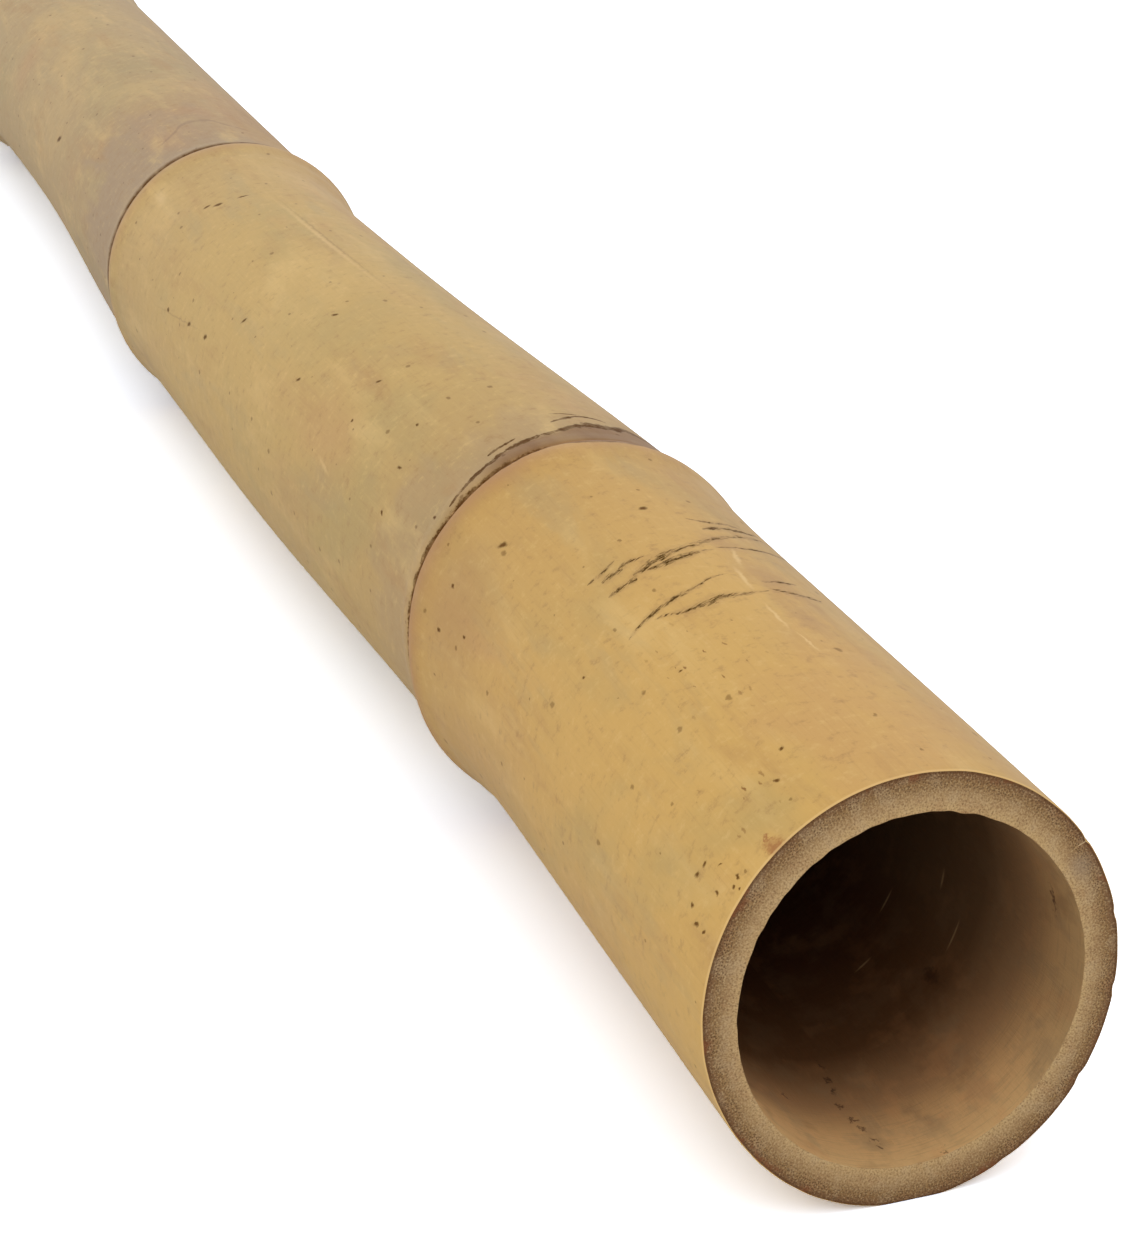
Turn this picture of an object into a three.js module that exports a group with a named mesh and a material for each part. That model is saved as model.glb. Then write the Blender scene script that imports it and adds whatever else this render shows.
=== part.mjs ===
// Bamboo cane: one cut length of thick round bamboo, lying on the ground.
// Millimetres. +Y runs along the cane from the near cut to the far cut, +Z is up, the ground is z = 0,
// and x = 0, y = 0 is the middle of the cane's box.
// The whole cane grew as one piece, so it is one solid: the outer skin with its nodes, the two cut
// faces, the bore, and the thin wall that closes the bore at each node.

import * as THREE from 'three';

// Size of the cane
const LENGTH = 1500;
const SKIN_RADIUS = 40;
const WALL = 7.3;

// The cane isn't quite round: its radius varies by this much each way
const OVAL = { amount: 0.4, tallest: THREE.MathUtils.degToRad(85) };

// Each node, from the near cut on. The tip of the plant is at the near cut, the root side is far.
// at: distance of the sheath scar from the near cut.
// bend: how much the cane's line turns there, as a change of slope sideways and upwards.
// lean: how far the scar's ring leans out of square, as slopes along X and Z.
// branchSide: the side, in degrees from +X towards +Z, where the branch grew.
// bud: extra swelling on that side. groove: depth of the channel that the branch pressed into the
// internode on the tip side.
const NODES = [
  { at: 174, bend: [-0.0105, -0.036], lean: [0.025, 0.042], branchSide: 217, bud: 0.8, groove: 1.4 },
  { at: 500, bend: [0.032, 0.0105], lean: [0.008, 0.002], branchSide: 37, bud: 0.6, groove: 2.3 },
  { at: 868, bend: [-0.03, -0.006], lean: [-0.006, -0.008], branchSide: 217, bud: 0.8, groove: 1.8 },
  { at: 1230, bend: [-0.012, 0.005], lean: [-0.008, 0.006], branchSide: 37, bud: 0.7, groove: 1.8 },
];

// Each internode, from the near cut on. waist: how much slimmer it is half way along, or fuller where
// it is below 0. bow: how far its middle lies to the right of the straight line.
const INTERNODES = [
  { waist: -0.4, bow: 0.2 },
  { waist: -0.2, bow: -1.8 },
  { waist: 1.2, bow: 1.6 },
  { waist: 0.8, bow: -1.6 },
  { waist: 0.4, bow: 0.8 },
];

// The cane's line at the near cut: slopes sideways and upwards, and how far the cut leans
const START_SLOPE = [0.004, 0.0274];
const NEAR_CUT_LEAN = [0.0195, 0.055];
const BEND_LENGTH = 10;

// The cut internodes at both ends are parts of whole ones, which would reach this far past the cuts
const NEAR_INTERNODE_REST = 124;
const FAR_INTERNODE_REST = 120;

// A node's skin. Distances run along the cane from the scar, and less than 0 is the tip side.
const SWELLING = { height: 0.5, at: -12, width: 16 };
const RIDGE = { height: 1.1, at: -5, width: 6.4 };
const SCAR = { depth: 0.6, width: 1.3 };
const SHEATH_LIP = { height: 0.35, at: 5, width: 2.6 };
const BRANCH_SPREAD = THREE.MathUtils.degToRad(36);
const GROOVE_START = -20;
const GROOVE_RISE = 8;

// The wall across the bore at a node: distance from the scar, and the bore that is left there as a
// share of the full bore. A small round hole is left through its middle.
const DIAPHRAGM = [
  [-17, 1],
  [-9, 0.94],
  [-4.8, 0.6],
  [-3.8, 0.17],
  [1.2, 0.17],
  [2.2, 0.6],
  [6, 0.94],
  [14, 1],
];

// Where the cane lies on the ground, under the near cut and one node, it is worn flat by this much
const GROUND_FLAT = 0.6;

// Mesh: sides around, and the rows of points along the skin
const SIDES = 48;
const NODE_ROWS = [-52, -34, -24, -18, -13, -9, -6, -3.5, -1.4, 0, 1.4, 4.5, 8, 20];
const NEAR_CUT_ROW = 8;
const LONGEST_ROW_STEP = 62;

const FULL_TURN = 2 * Math.PI;
const bump = (distance, width) => Math.exp(-((distance / width) ** 2));

// A straight ramp that starts at 0 with a rounded foot, for a line that turns over a short length.
// Past FOOT_WIDTHS of its width the foot makes no more difference.
const FOOT_WIDTHS = 30;
function softRamp(distance, width) {
  const t = distance / width;
  return t > FOOT_WIDTHS ? distance : width * Math.log1p(Math.exp(t));
}

function angleBetween(a, b) {
  const d = (((a - b) % FULL_TURN) + FULL_TURN) % FULL_TURN;
  return Math.min(d, FULL_TURN - d);
}

// Ends of every internode, the cut ones at their full length
const INTERNODE_ENDS = [-NEAR_INTERNODE_REST, ...NODES.map((node) => node.at), LENGTH + FAR_INTERNODE_REST];

// 0 at the ends of internode i and 1 at its middle, by a squared sine
function middleOfInternode(i, along) {
  const start = INTERNODE_ENDS[i];
  const end = INTERNODE_ENDS[i + 1];
  const share = THREE.MathUtils.clamp((along - start) / (end - start), 0, 1);
  return Math.sin(Math.PI * share) ** 2;
}

const sumOverInternodes = (along, key) =>
  INTERNODES.reduce((sum, internode, i) => sum + internode[key] * middleOfInternode(i, along), 0);

// The cane's line, sideways (0) or upwards (1): straight, turned a little at each node
function centreline(along, direction) {
  const turned = NODES.reduce(
    (sum, node) => sum + node.bend[direction] * softRamp(along - node.at, BEND_LENGTH),
    START_SLOPE[direction] * along,
  );
  return direction === 0 ? turned + sumOverInternodes(along, 'bow') : turned;
}

// How far a ring of the cane leans out of square, worked out between the near cut, the scars and
// the far cut, which is square
function lean(along, direction) {
  const places = [0, ...NODES.map((node) => node.at), LENGTH];
  const leans = [NEAR_CUT_LEAN[direction], ...NODES.map((node) => node.lean[direction]), 0];
  if (along >= LENGTH) return 0;
  const i = places.findIndex((place) => place > along) - 1;
  return THREE.MathUtils.mapLinear(along, places[i], places[i + 1], leans[i], leans[i + 1]);
}

const plainRadius = (along) => SKIN_RADIUS - sumOverInternodes(along, 'waist');

// The channel below a branch: it starts a little before the ridge and fades out along the internode
function branchGroove(distance, internodeLength) {
  const past = GROOVE_START - distance;
  if (past <= 0) return 0;
  return (1 - Math.exp(-past / GROOVE_RISE)) * Math.max(0, 1 - past / internodeLength);
}

function skinRadius(along, angle) {
  return NODES.reduce((radius, node, i) => {
    const distance = along - node.at;
    const branch = bump(angleBetween(angle, THREE.MathUtils.degToRad(node.branchSide)), BRANCH_SPREAD);
    const internodeLength = node.at - INTERNODE_ENDS[i];
    return (
      radius +
      SWELLING.height * bump(distance - SWELLING.at, SWELLING.width) +
      (RIDGE.height + node.bud * branch) * bump(distance - RIDGE.at, RIDGE.width) -
      SCAR.depth * bump(distance, SCAR.width) +
      SHEATH_LIP.height * bump(distance - SHEATH_LIP.at, SHEATH_LIP.width) -
      node.groove * branch * branchGroove(distance, internodeLength)
    );
  }, plainRadius(along) + OVAL.amount * Math.cos(2 * (angle - OVAL.tallest)));
}

// One ring of points: radiusAt gives the radius for an angle
function ring(along, radiusAt) {
  const centreX = centreline(along, 0);
  const centreZ = centreline(along, 1);
  return Array.from({ length: SIDES }, (_, side) => {
    const angle = (FULL_TURN * side) / SIDES;
    const x = radiusAt(angle) * Math.cos(angle);
    const z = radiusAt(angle) * Math.sin(angle);
    return new THREE.Vector3(centreX + x, along + x * lean(along, 0) + z * lean(along, 1), centreZ + z);
  });
}

// Distances of the skin's rows: close together at each node, further apart between nodes
function skinPlaces() {
  const fixed = [0, NEAR_CUT_ROW, ...NODES.flatMap((node) => NODE_ROWS.map((offset) => node.at + offset)), LENGTH];
  return fixed.flatMap((place, i) => {
    if (i === 0) return [place];
    const steps = Math.ceil((place - fixed[i - 1]) / LONGEST_ROW_STEP);
    return Array.from({ length: steps }, (_, k) =>
      THREE.MathUtils.lerp(fixed[i - 1], place, (k + 1) / steps),
    );
  });
}

// The bore's rows, from the far cut back to the near one
function borePlaces() {
  const rows = [{ along: 0, share: 1 }];
  for (const node of NODES) {
    rows.push({ along: (rows.at(-1).along + node.at + DIAPHRAGM[0][0]) / 2, share: 1 });
    rows.push(...DIAPHRAGM.map(([offset, share]) => ({ along: node.at + offset, share })));
  }
  rows.push({ along: (rows.at(-1).along + LENGTH) / 2, share: 1 });
  rows.push({ along: LENGTH, share: 1 });
  return rows.reverse();
}

// Joins the rings one after another, and the last to the first, into one closed surface.
// Rings that run along +Y on the outside and back on the inside make faces that point out.
function closedTube(rings) {
  const index = [];
  rings.forEach((_, row) => {
    const next = (row + 1) % rings.length;
    for (let side = 0; side < SIDES; side += 1) {
      const beside = (side + 1) % SIDES;
      const corners = [row * SIDES + side, next * SIDES + side, next * SIDES + beside, row * SIDES + beside];
      index.push(corners[0], corners[1], corners[2], corners[0], corners[2], corners[3]);
    }
  });
  const geometry = new THREE.BufferGeometry().setFromPoints(rings.flat());
  geometry.setIndex(index);
  return geometry;
}

// Sets the cane down: its lowest skin goes just under the ground and is pressed flat there
function restOnGround(rings) {
  const points = rings.flat();
  const lowest = Math.min(...points.map((point) => point.z));
  for (const point of points) point.z = Math.max(0, point.z - lowest - GROUND_FLAT);
}

function centreOverOrigin(geometry) {
  geometry.computeBoundingBox();
  const centre = geometry.boundingBox.getCenter(new THREE.Vector3());
  geometry.translate(-centre.x, -centre.y, 0);
}

function culm() {
  const skin = skinPlaces().map((along) => ring(along, (angle) => skinRadius(along, angle)));
  const bore = borePlaces().map(({ along, share }) => ring(along, () => (plainRadius(along) - WALL) * share));
  const rings = [...skin, ...bore];
  restOnGround(rings);
  const geometry = closedTube(rings);
  centreOverOrigin(geometry);
  geometry.computeVertexNormals();
  const bamboo = new THREE.MeshStandardMaterial({ color: 0xcba865, roughness: 0.5, metalness: 0 });
  const mesh = new THREE.Mesh(geometry, bamboo);
  mesh.name = 'culm';
  return mesh;
}

const cane = new THREE.Group();
cane.add(culm());

export default cane;
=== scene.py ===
"""A bamboo cane lying on a white floor, seen from its near cut.

Metres, in the CAD's frame: +Y runs along the cane from its near cut, +Z is up and the floor is z = 0.
The cane grew as one piece, so it is one closed grid of points: the skin with its nodes, the far cut,
the bore with the wall that closes it at each node, and the near cut. The grid follows the CAD's own
formulas, with finer nodes and cuts. The skin, the cuts and the bore have a material each, and every
pattern in them is worked out in nodes.
"""

import math
from typing import NamedTuple

import bpy
import numpy as np
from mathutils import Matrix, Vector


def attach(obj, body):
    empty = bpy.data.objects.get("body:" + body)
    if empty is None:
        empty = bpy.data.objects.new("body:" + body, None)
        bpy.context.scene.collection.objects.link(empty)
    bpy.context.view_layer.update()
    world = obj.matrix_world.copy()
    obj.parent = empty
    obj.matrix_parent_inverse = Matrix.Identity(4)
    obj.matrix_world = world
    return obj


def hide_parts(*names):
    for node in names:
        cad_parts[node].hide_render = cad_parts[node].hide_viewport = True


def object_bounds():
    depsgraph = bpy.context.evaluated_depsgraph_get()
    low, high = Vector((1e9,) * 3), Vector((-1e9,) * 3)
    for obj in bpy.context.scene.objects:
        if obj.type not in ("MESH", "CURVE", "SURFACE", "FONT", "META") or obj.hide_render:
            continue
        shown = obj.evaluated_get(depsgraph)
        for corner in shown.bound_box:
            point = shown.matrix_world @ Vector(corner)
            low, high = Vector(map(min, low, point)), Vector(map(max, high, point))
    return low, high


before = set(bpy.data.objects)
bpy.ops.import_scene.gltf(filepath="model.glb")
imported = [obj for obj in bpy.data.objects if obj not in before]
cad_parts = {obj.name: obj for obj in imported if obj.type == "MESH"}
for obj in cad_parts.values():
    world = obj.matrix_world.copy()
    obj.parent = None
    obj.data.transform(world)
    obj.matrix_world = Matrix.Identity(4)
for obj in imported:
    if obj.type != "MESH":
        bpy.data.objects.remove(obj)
cad_low, cad_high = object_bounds()

MM = 0.001
FULL_TURN = 2 * math.pi


# Camera

CAMERA_PLACE = (-0.2095, -1.1601, 0.2888)
CAMERA_HEADING = math.radians(19.14)
CAMERA_PITCH = math.radians(21.46)
CAMERA_LENS = 87.5


def make_camera():
    """Looks along +Y, turned towards +X by the heading and down by the pitch."""
    camera = bpy.data.objects.new("camera", bpy.data.cameras.new("camera"))
    camera.data.lens = CAMERA_LENS
    camera.data.sensor_width = 36
    camera.data.clip_start = 0.01
    camera.data.clip_end = 100
    camera.location = CAMERA_PLACE
    camera.rotation_euler = (math.pi / 2 - CAMERA_PITCH, 0, -CAMERA_HEADING)
    bpy.context.scene.collection.objects.link(camera)
    bpy.context.scene.camera = camera


make_camera()


# The cane's shape, in millimetres. Angles run from +X towards +Z, and distances from the near cut.

LENGTH = 1500
SKIN_RADIUS = 40
WALL = 7.3
OVAL = 0.4
OVAL_TALLEST = math.radians(85)


class Node(NamedTuple):
    """A node: the place of its sheath scar, how the line turns and the ring leans there, and the
    side on which the branch grew, with its bud and the channel that it pressed into the skin."""

    at: float
    bend: tuple
    lean: tuple
    branch_side: float
    bud: float
    groove: float


NODES = (
    Node(174, (-0.0105, -0.036), (0.025, 0.042), 217, 0.8, 1.4),
    Node(500, (0.032, 0.0105), (0.008, 0.002), 37, 0.6, 2.3),
    Node(868, (-0.03, -0.006), (-0.006, -0.008), 217, 0.8, 1.8),
    Node(1230, (-0.012, 0.005), (-0.008, 0.006), 37, 0.7, 1.8),
)

# For each internode, how much slimmer it is half way along, and how far its middle bows to the right
WAISTS = (-0.4, -0.2, 1.2, 0.8, 0.4)
BOWS = (0.2, -1.8, 1.6, -1.6, 0.8)

# The cut internodes at both ends are parts of whole ones, which would reach this far past the cuts
NEAR_INTERNODE_REST = 124
FAR_INTERNODE_REST = 120
INTERNODE_ENDS = (-NEAR_INTERNODE_REST, *(node.at for node in NODES), LENGTH + FAR_INTERNODE_REST)

START_SLOPE = (0.004, 0.0274)
NEAR_CUT_LEAN = (0.0195, 0.055)
BEND_LENGTH = 10
FOOT_WIDTHS = 30
BRANCH_SPREAD = math.radians(36)
GROOVE_START = -20
GROOVE_RISE = 8
GROUND_FLAT = 0.6


class Bulge(NamedTuple):
    """A ring that stands out of the skin by a bell, or goes into it where the height is below 0."""

    height: float
    at: float
    width: float


# A node's skin. Distances run from the scar, and less than 0 is the side of the near cut.
SWELLING = Bulge(0.5, -12, 16)
RIDGE = Bulge(1.1, -5, 6.4)
SCAR_GROOVE = Bulge(-0.7, 0, 1)
SHEATH_LIP = Bulge(0.35, 4, 2.4)
SCAR_UNEVENNESS = 0.25

# Where the first node's sheath tore off past its scar, the scar is shallower by this share
TORN_SIDE = math.radians(72)
TORN_SPREAD = math.radians(24)
TORN_SHALLOWER = 0.75

# Slight lumps in the skin, and how far each scar's ring strays along the cane and is felt beside it
LUMP_HEIGHT = 0.05
LUMP_LENGTHS = (47, 31)
SCAR_WANDER = 0.7
WANDER_REACH = 30

# The cuts: chips out of the near one's outer rim as (angle, half width, depth), even wear between
# them, and how far the saw tore the bore's edge outwards, most at one side
CHIPS = ((-34, 1.6, 0.4), (-9, 1.3, 0.35), (-63, 2, 0.2), (12, 1.2, 0.3), (35.5, 0.9, 0.4))
RIM_WEAR = 0.03
CHIP_REACH = 0.9
BORE_TEAR = 0.16
TEAR_SIDE = math.radians(100)
TEAR_SPREAD = math.radians(60)
LEAST_TEAR = 0.35
TEAR_REACH = 0.7

# The grid, and the rings' distances from a scar
AROUND = 256
NODE_OFFSETS = np.array(
    [-62, -48, -38, -31, -26, -22, -19, -16.5, -14, -12, -10.2, -8.6, -7.2, -6, -5, -4.1, -3.3]
    + [-2.6, -2, -1.5, -1.1, -0.75, -0.4, 0, 0.4, 0.75, 1.1, 1.5, 2, 2.6, 3.3, 4.1, 5, 6, 7.2, 9]
    + [12, 17, 25, 36]
)
CUT_OFFSETS = np.array([0.5, 0.8, 1.2, 1.8, 2.6, 4, 6, 9, 14, 22, 34])
LONGEST_STEP = 16
RIM_ROUND = 0.3
ROUND_STEPS = 4
NEAR_CUT_STEPS = 12
FAR_CUT_STEPS = 8

# The bore near a scar: distance from it, and the bore left as a share of the full one. The wall
# across the bore closes but for a pinhole, which keeps the grid one closed tube.
DIAPHRAGM = np.array(
    [
        (-17, 1),
        (-12, 0.98),
        (-9, 0.94),
        (-6.6, 0.8),
        (-5.2, 0.62),
        (-4.4, 0.4),
        (-4, 0.17),
        (-3.9, 0.003),
        (1.3, 0.003),
        (1.4, 0.17),
        (1.8, 0.4),
        (2.6, 0.62),
        (4, 0.8),
        (6, 0.94),
        (9, 0.98),
        (14, 1),
    ]
)
BORE_STEP = 30
BORE_NEAR_CUT = (0, 0.4, 1, 2.5, 6)
BORE_FAR_CUT = (LENGTH - 0.4, LENGTH)


def bump(distance, width):
    """A bell that is 1 at distance 0, by e to the minus square of distance over width."""
    return np.exp(-((distance / width) ** 2))


def soft_ramp(distance, width):
    """0 far below 0 and the distance itself far above it, with a rounded foot."""
    t = distance / width
    foot = width * np.log1p(np.exp(np.minimum(t, FOOT_WIDTHS)))
    return np.where(t > FOOT_WIDTHS, distance, foot)


def angle_between(a, b):
    return np.abs((a - b + math.pi) % FULL_TURN - math.pi)


def sum_over_internodes(along, amounts):
    """Each amount times the squared sine that is 0 at its internode's ends and 1 in its middle."""
    total = 0
    for amount, start, end in zip(amounts, INTERNODE_ENDS[:-1], INTERNODE_ENDS[1:]):
        share = np.clip((along - start) / (end - start), 0, 1)
        total = total + amount * np.sin(math.pi * share) ** 2
    return total


def centreline(along, direction):
    """The cane's line, sideways (0) or upwards (1): straight, turned a little at each node."""
    line = START_SLOPE[direction] * along
    for node in NODES:
        line = line + node.bend[direction] * soft_ramp(along - node.at, BEND_LENGTH)
    return line + sum_over_internodes(along, BOWS) if direction == 0 else line


def lean(along, direction):
    """How far a ring leans out of square: in straight steps from cut to node to node to cut."""
    places = (0, *(node.at for node in NODES), LENGTH)
    leans = (NEAR_CUT_LEAN[direction], *(node.lean[direction] for node in NODES), 0)
    return np.interp(along, places, leans)


def waves(angle, seed, lowest, highest):
    """A wavy line round the ring: a sum of sines of lowest to highest waves a turn, about -1 to 1."""
    random = np.random.default_rng(seed)
    counts = np.arange(lowest, highest + 1)
    phases = random.uniform(0, FULL_TURN, len(counts))
    strengths = random.uniform(0.5, 1, len(counts)) / np.sqrt(len(counts))
    return (strengths * np.sin(counts * angle[..., None] + phases)).sum(-1)


def plain_radius(along):
    return SKIN_RADIUS - sum_over_internodes(along, WAISTS)


def branch_groove(distance, internode_length):
    """The channel below a branch: it starts just before the ridge and fades along the internode."""
    past = np.maximum(0, GROOVE_START - distance)
    return (1 - np.exp(-past / GROOVE_RISE)) * np.maximum(0, 1 - past / internode_length)


def skin_radius(along, angle):
    """The plain radius, a little oval, plus at each node a swelling, the ridge with its bud, the
    sharp scar and the lip of the sheath, less the branch's channel and a little unevenness."""
    radius = plain_radius(along) + OVAL * np.cos(2 * (angle - OVAL_TALLEST))
    for number, node in enumerate(NODES):
        distance = along - node.at
        branch = bump(angle_between(angle, math.radians(node.branch_side)), BRANCH_SPREAD)
        uneven = 1 + SCAR_UNEVENNESS * waves(angle, 20 + number, 4, 11)
        if number == 0:
            uneven = uneven * (1 - TORN_SHALLOWER * bump(angle_between(angle, TORN_SIDE), TORN_SPREAD))
        radius = radius + SWELLING.height * bump(distance - SWELLING.at, SWELLING.width)
        radius = radius + (RIDGE.height + node.bud * branch) * bump(distance - RIDGE.at, RIDGE.width)
        radius = radius + SCAR_GROOVE.height * uneven * bump(distance - SCAR_GROOVE.at, SCAR_GROOVE.width)
        radius = radius + SHEATH_LIP.height * uneven * bump(distance - SHEATH_LIP.at, SHEATH_LIP.width)
        radius = radius - node.groove * branch * branch_groove(distance, node.at - INTERNODE_ENDS[number])
    long_lumps = waves(angle, 3, 2, 5) * np.sin(along / LUMP_LENGTHS[0])
    short_lumps = waves(angle, 4, 2, 6) * np.sin(along / LUMP_LENGTHS[1] + 1)
    return radius - LUMP_HEIGHT * (2 + (long_lumps + short_lumps))


def scar_wander(along, angle):
    """How far each scar's ring strays from a plane, felt less and less away from it."""
    strays = [
        SCAR_WANDER * waves(angle, 10 + number, 2, 7) * bump(along - node.at, WANDER_REACH)
        for number, node in enumerate(NODES)
    ]
    return sum(strays)


def rim_chips(angle):
    """How deep the near cut's outer rim is worn and chipped."""
    depth = RIM_WEAR * (1 + waves(angle, 5, 9, 40))
    for place, half_width, deep in CHIPS:
        depth = depth + deep * bump(angle_between(angle, math.radians(place)), math.radians(half_width))
    return depth


def bore_raggedness(angle):
    """How far the saw tore the bore's edge outwards, most at the top."""
    top = LEAST_TEAR + (1 - LEAST_TEAR) * bump(angle_between(angle, TEAR_SIDE), TEAR_SPREAD)
    return top * (BORE_TEAR + BORE_TEAR * waves(angle, 6, 5, 60))


def ring_points(along, angle, radius):
    """Points of leaning rings round the cane's line: x and z by angle and radius, y by the lean."""
    x = radius * np.cos(angle)
    z = radius * np.sin(angle)
    y = along + x * lean(along, 0) + z * lean(along, 1)
    return np.stack([centreline(along, 0) + x, y, centreline(along, 1) + z], -1)


def spaced(places, longest):
    """The places in order, with more put evenly where two are further apart than longest."""
    places = np.unique(places)
    filled = [places[:1]]
    for start, end in zip(places[:-1], places[1:]):
        steps = math.ceil((end - start) / longest)
        filled.append(np.linspace(start, end, steps + 1)[1:])
    return np.concatenate(filled)


class Band(NamedTuple):
    """Rings of points that share a material. map_along and map_around place them in the cane's own
    flat map, in millimetres."""

    points: np.ndarray
    map_along: np.ndarray
    map_around: np.ndarray
    material: int


SKIN, CUT, BORE = 0, 1, 2
MAP_TURN = FULL_TURN * SKIN_RADIUS
CUT_MAP_STEP = 1000


def turn_from_underside(angle):
    """The share of a turn from straight down, through +X and the top."""
    return ((angle / FULL_TURN) + 0.25) % 1


def skin_band(angle):
    """From the near cut's rounded rim to the far cut's: distance along, with each scar wandering."""
    near_nodes = np.concatenate([node.at + NODE_OFFSETS for node in NODES])
    ends = np.concatenate([CUT_OFFSETS, LENGTH - CUT_OFFSETS])
    rounding = RIM_ROUND * (1 - np.cos(np.linspace(0, math.pi / 2, ROUND_STEPS + 1)[1:]))
    between = spaced(np.concatenate([near_nodes, ends]), LONGEST_STEP)
    along = np.sort(np.concatenate([rounding, between, LENGTH - rounding]))[:, None]
    from_cut = np.minimum(along, LENGTH - along)
    depth = np.clip(1 - from_cut / RIM_ROUND, 0, 1)
    rounded = RIM_ROUND * (1 - np.sqrt(1 - depth**2))
    chipped = rim_chips(angle) * bump(along, CHIP_REACH)
    radius = skin_radius(along, angle) - rounded - chipped
    points = ring_points(along + scar_wander(along, angle), angle, radius)
    return Band(points, along + 0 * angle, MAP_TURN * turn_from_underside(angle) + 0 * along, SKIN)


def cut_band(angle, at, outer, inner, steps, map_offset):
    """A flat cut from the skin's rim to the bore's. In the map, along is the depth below the rim."""
    share = np.linspace(0, 1, steps)[:, None]
    radius = outer + (inner - outer) * share
    points = ring_points(np.full_like(radius, at), angle, radius)
    around = MAP_TURN * turn_from_underside(angle) + map_offset + 0 * radius
    return Band(points, outer - radius, around, CUT)


def bore_band(angle):
    """From the far cut back to the near one: the full bore, closed by a wall at each node."""
    rows = [(offset + node.at, share) for node in NODES for offset, share in DIAPHRAGM]
    rows += [(at, 1) for at in BORE_NEAR_CUT + BORE_FAR_CUT]
    rows = np.array(sorted(rows))
    along = spaced(rows[:, 0], BORE_STEP)
    share = np.interp(along, rows[:, 0], rows[:, 1])[::-1, None]
    along = along[::-1, None]
    from_cut = np.minimum(along, LENGTH - along)
    torn = bore_raggedness(angle) * bump(from_cut, TEAR_REACH)
    radius = (plain_radius(along) - WALL) * share + torn
    points = ring_points(along + 0 * radius, angle, radius)
    return Band(points, along + 0 * radius, MAP_TURN * turn_from_underside(angle) + 0 * radius, BORE)


def cane_bands():
    angle = (FULL_TURN * np.arange(AROUND) / AROUND)[None, :]
    skin = skin_band(angle)
    bore = bore_band(angle)
    outer_near = skin_radius(np.zeros(1), angle) - RIM_ROUND - rim_chips(angle)
    outer_far = skin_radius(np.full(1, LENGTH), angle) - RIM_ROUND
    inner_near = plain_radius(np.zeros(1)) - WALL + bore_raggedness(angle)
    inner_far = plain_radius(np.full(1, LENGTH)) - WALL + bore_raggedness(angle)
    far_cut = cut_band(angle, LENGTH, outer_far, inner_far, FAR_CUT_STEPS, CUT_MAP_STEP)
    near_cut = cut_band(angle, 0, outer_near, inner_near, NEAR_CUT_STEPS, 0)
    near_cut = Band(*(side[::-1] for side in near_cut[:3]), CUT)
    return [skin, far_cut, bore, near_cut]


def lie_on_floor(points):
    """Sets the cane down with its lowest skin pressed flat, over the CAD's box and nowhere past it."""
    low = points.min((0, 1))
    high = points.max((0, 1))
    middle = (low + high) / 2
    shift = np.array([-middle[0], -middle[1], -low[2] - GROUND_FLAT])
    return np.clip((points + shift) * MM, np.array(cad_low), np.array(cad_high))


def grid_corners(rows):
    """The closed grid's faces, as each face's four corners: the rings they are on, and the sides."""
    row, side = np.meshgrid(np.arange(rows), np.arange(AROUND), indexing="ij")
    next_row = (row + 1) % rows
    next_side = (side + 1) % AROUND
    corner_rows = np.stack([row, next_row, next_row, row], -1).reshape(-1, 4)
    corner_sides = np.stack([side, side, next_side, next_side], -1).reshape(-1, 4)
    return corner_rows, corner_sides


def flat_map(bands, corner_rows, corner_sides):
    """The corners' places in the cane's map, along and around. A face that closes its band against
    the next one stays in its own band's map, and the last side's faces end at a whole turn."""
    sizes = [len(band.points) for band in bands]
    band_of_row = np.repeat(np.arange(len(bands)), sizes)
    last_row = np.repeat(np.cumsum(sizes) - 1, sizes)
    own_row = corner_rows[:, :1]
    leaves_band = band_of_row[corner_rows] != band_of_row[own_row]
    rows = np.where(leaves_band, last_row[own_row], corner_rows)
    along = np.concatenate([band.map_along for band in bands])[rows, corner_sides]
    around = np.concatenate([band.map_around for band in bands])[rows, corner_sides]
    return along, np.where(around < around[:, :1] - MAP_TURN / 2, around + MAP_TURN, around)


# A second map, for a picture of the whole skin: the skin in strips of a quarter of the length, two
# side by side, above them the bore at half size, and above that the two cuts, stretched
STRIPS = 4
STRIP = LENGTH / STRIPS
STRIP_GAP = 20
BAKE_ROW = MAP_TURN + 5
BAKE_SIZE = 2 * (STRIP + STRIP_GAP)
BORE_SHRINK = 0.49
CUTS_AT_ROW = 2.6
CUT_STRETCH = (3, 5)
CUT_SPACING = 1.4 * WALL


def bake_map(along, around, material):
    """The corners' places in the second map, by the strip that their face starts in."""
    strip = np.clip(along.min(1, keepdims=True) // STRIP, 0, STRIPS - 1)
    within = along - strip * STRIP
    skin_x = within + (strip % 2) * (STRIP + STRIP_GAP)
    skin_y = around + (strip // 2) * BAKE_ROW
    bore_x = BORE_SHRINK * (within + strip * (STRIP + STRIP_GAP))
    bore_y = 2 * BAKE_ROW + BORE_SHRINK * around
    far = around >= CUT_MAP_STEP
    cut_x = CUT_STRETCH[0] * (around - CUT_MAP_STEP * far)
    cut_y = CUTS_AT_ROW * BAKE_ROW + CUT_STRETCH[1] * (along + CUT_SPACING * far)
    kinds = [material == SKIN, material == BORE]
    x = np.select(kinds, [skin_x, bore_x], cut_x)
    y = np.select(kinds, [skin_y, bore_y], cut_y)
    return x / BAKE_SIZE, y / BAKE_SIZE


def add_map(mesh, name, x, y):
    layer = mesh.uv_layers.new(name=name)
    layer.data.foreach_set("uv", np.stack([x, y], -1).astype(np.float32).ravel())


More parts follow.
